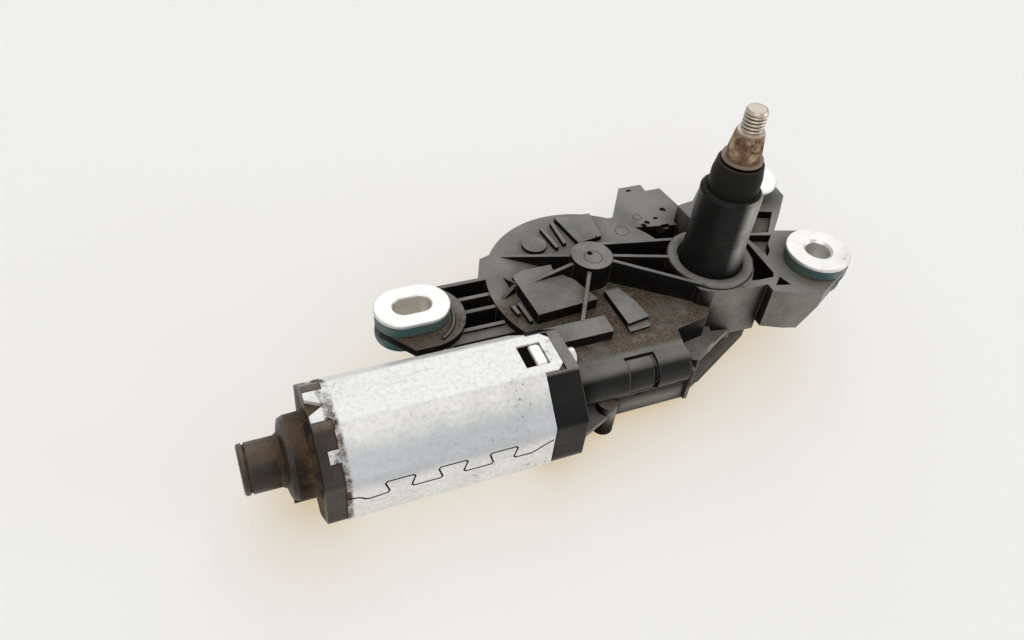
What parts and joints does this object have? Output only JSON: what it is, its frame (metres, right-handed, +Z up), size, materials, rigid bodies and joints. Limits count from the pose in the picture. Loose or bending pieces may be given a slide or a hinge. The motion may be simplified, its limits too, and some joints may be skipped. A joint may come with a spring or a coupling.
{
  "type": "wiper motor",
  "caption": "Rear wiper motor: round can motor, worm gear case with three rubber-mounted ears and an upright oscillating spindle with a threaded tip.",
  "frame": {"origin": "the wiper shaft's axis, half way up the smooth grip of the spindle tube", "axes": "+Z up the wiper shaft to its threaded tip, +X parallel to the motor's axis from its end cap towards the wiper shaft, +Y away from the motor"},
  "size_m": [0.2402, 0.1124, 0.1079],
  "materials": {
    "case": "moulded glass-filled plastic, dusty satin",
    "tube_plastic": "smooth satin black plastic",
    "black_rubber": "black rubber",
    "teal_rubber": "blue-green rubber",
    "aluminium": "bright turned aluminium",
    "zinc_steel": "zinc-plated deep-drawn steel",
    "shaft_steel": "plated steel with a rusty knurled cone",
    "dark_steel": "plain steel",
    "bronze": "sintered bronze",
    "copper": "enamelled copper",
    "gear_plastic": "natural moulded gear plastic",
    "ferrite": "dark sintered ferrite",
    "core_steel": "stacked laminations",
    "carbon": "pressed carbon",
    "board": "green circuit board",
    "contact": "tinned brass"
  },
  "bodies": {
    "root": {"gear_case": "case", "cover_plate": "case", "cover_screws": "dark_steel", "spindle_tube": "tube_plastic", "upper_bush": "bronze", "lower_bush": "bronze", "seal_cap": "black_rubber", "shaft_seal": "black_rubber", "wheel_axle": "dark_steel", "axle_clip": "dark_steel", "motor_yoke": "zinc_steel", "magnet_clip": "dark_steel", "end_cap": "case", "rear_bearing": "bronze", "middle_bearing": "bronze", "tail_bearing": "bronze", "brush_holder": "case", "brushes": "carbon", "brush_springs": "dark_steel", "front_sleeve": "aluminium", "front_grommet": "teal_rubber", "back_sleeve": "aluminium", "back_grommet": "teal_rubber", "slotted_sleeve": "aluminium", "slotted_grommet": "teal_rubber", "circuit_board": "board", "connector_housing": "case", "connector_pins": "contact", "magnet_1": "ferrite", "magnet_2": "ferrite", "magnet_3": "ferrite", "magnet_4": "ferrite"},
    "armature": {"armature_shaft": "dark_steel", "lamination_stack": "core_steel", "windings": "copper", "commutator": "copper"},
    "worm_wheel": {"worm_wheel": "gear_plastic"},
    "wiper_shaft": {"wiper_shaft": "shaft_steel", "output_lever": "dark_steel", "lever_pin": "dark_steel", "retaining_ring": "dark_steel", "thrust_washer": "dark_steel"},
    "connecting_rod": {"connecting_rod": "dark_steel", "crank_pin": "dark_steel"}
  },
  "joints": [
    {"name": "armature_spin", "type": "hinge", "parent": "root", "child": "armature", "pos_m": [-0.12, -0.0295, -0.0385], "axis": [1, 0, 0], "continuous": true},
    {"name": "worm_wheel_spin", "type": "hinge", "parent": "root", "child": "worm_wheel", "pos_m": [-0.0455, 0.011, -0.0385], "axis": [0, 0, 1], "continuous": true},
    {"name": "wiper_shaft_swing", "type": "hinge", "parent": "root", "child": "wiper_shaft", "pos_m": [0, 0, 0], "axis": [0, 0, 1], "range_deg": [-55, 55]},
    {"name": "rod_pivot", "type": "hinge", "parent": "wiper_shaft", "child": "connecting_rod", "pos_m": [0.00066, 0.01599, -0.0465], "axis": [0, 0, 1], "range_deg": [-55, 55]}
  ],
  "couplings": [
    {"joint": "worm_wheel_spin", "follows": "armature_spin", "ratio": -0.016667},
    {"joint": "rod_pivot", "follows": "wiper_shaft_swing", "ratio": -1}
  ]
}
